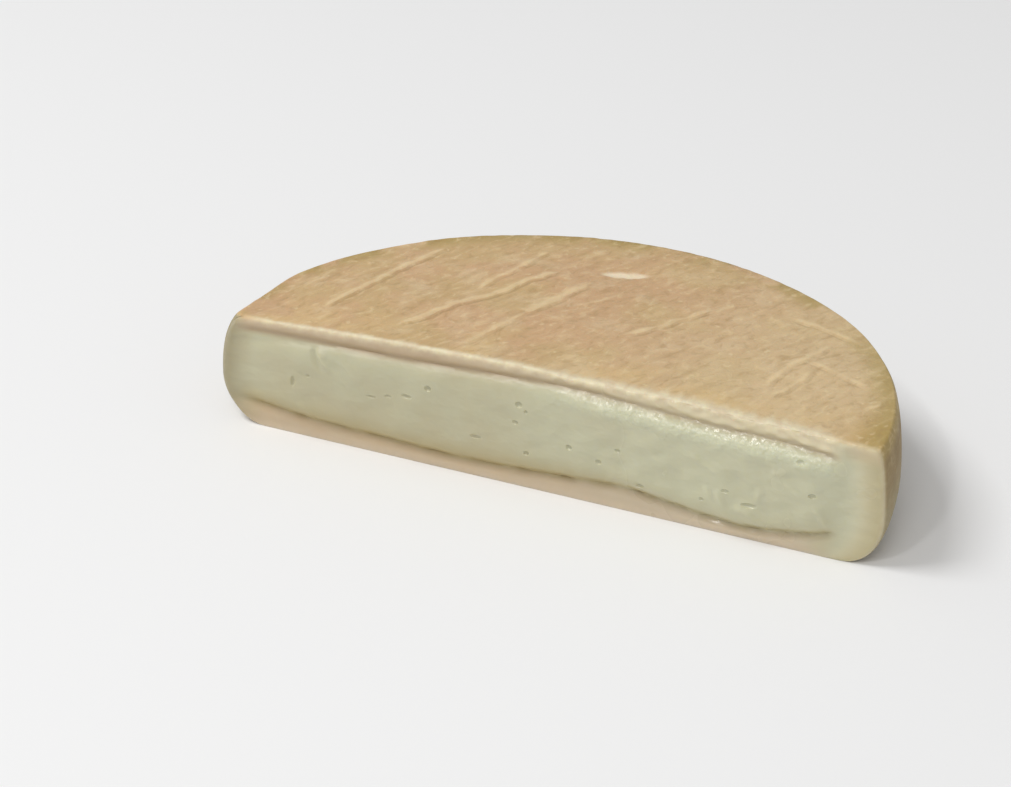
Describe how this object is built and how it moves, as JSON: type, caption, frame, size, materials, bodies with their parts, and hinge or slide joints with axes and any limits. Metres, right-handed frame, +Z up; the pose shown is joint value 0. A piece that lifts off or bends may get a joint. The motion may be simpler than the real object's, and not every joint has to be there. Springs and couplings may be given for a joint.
{
  "type": "half cheese wheel",
  "caption": "Half wheel of soft washed-rind cheese with creased tan rind and a pale, bulging, slightly holed cut face.",
  "frame": {"origin": "middle of the underside of the bounding box", "axes": "+X along the cut face, +Y from the cut face towards the round back, +Z up out of the top rind"},
  "size_m": [0.192, 0.0942, 0.0362],
  "materials": {
    "rind": "matte, finely wrinkled"
  },
  "bodies": {
    "root": {"half_wheel": "rind"}
  },
  "joints": []
}
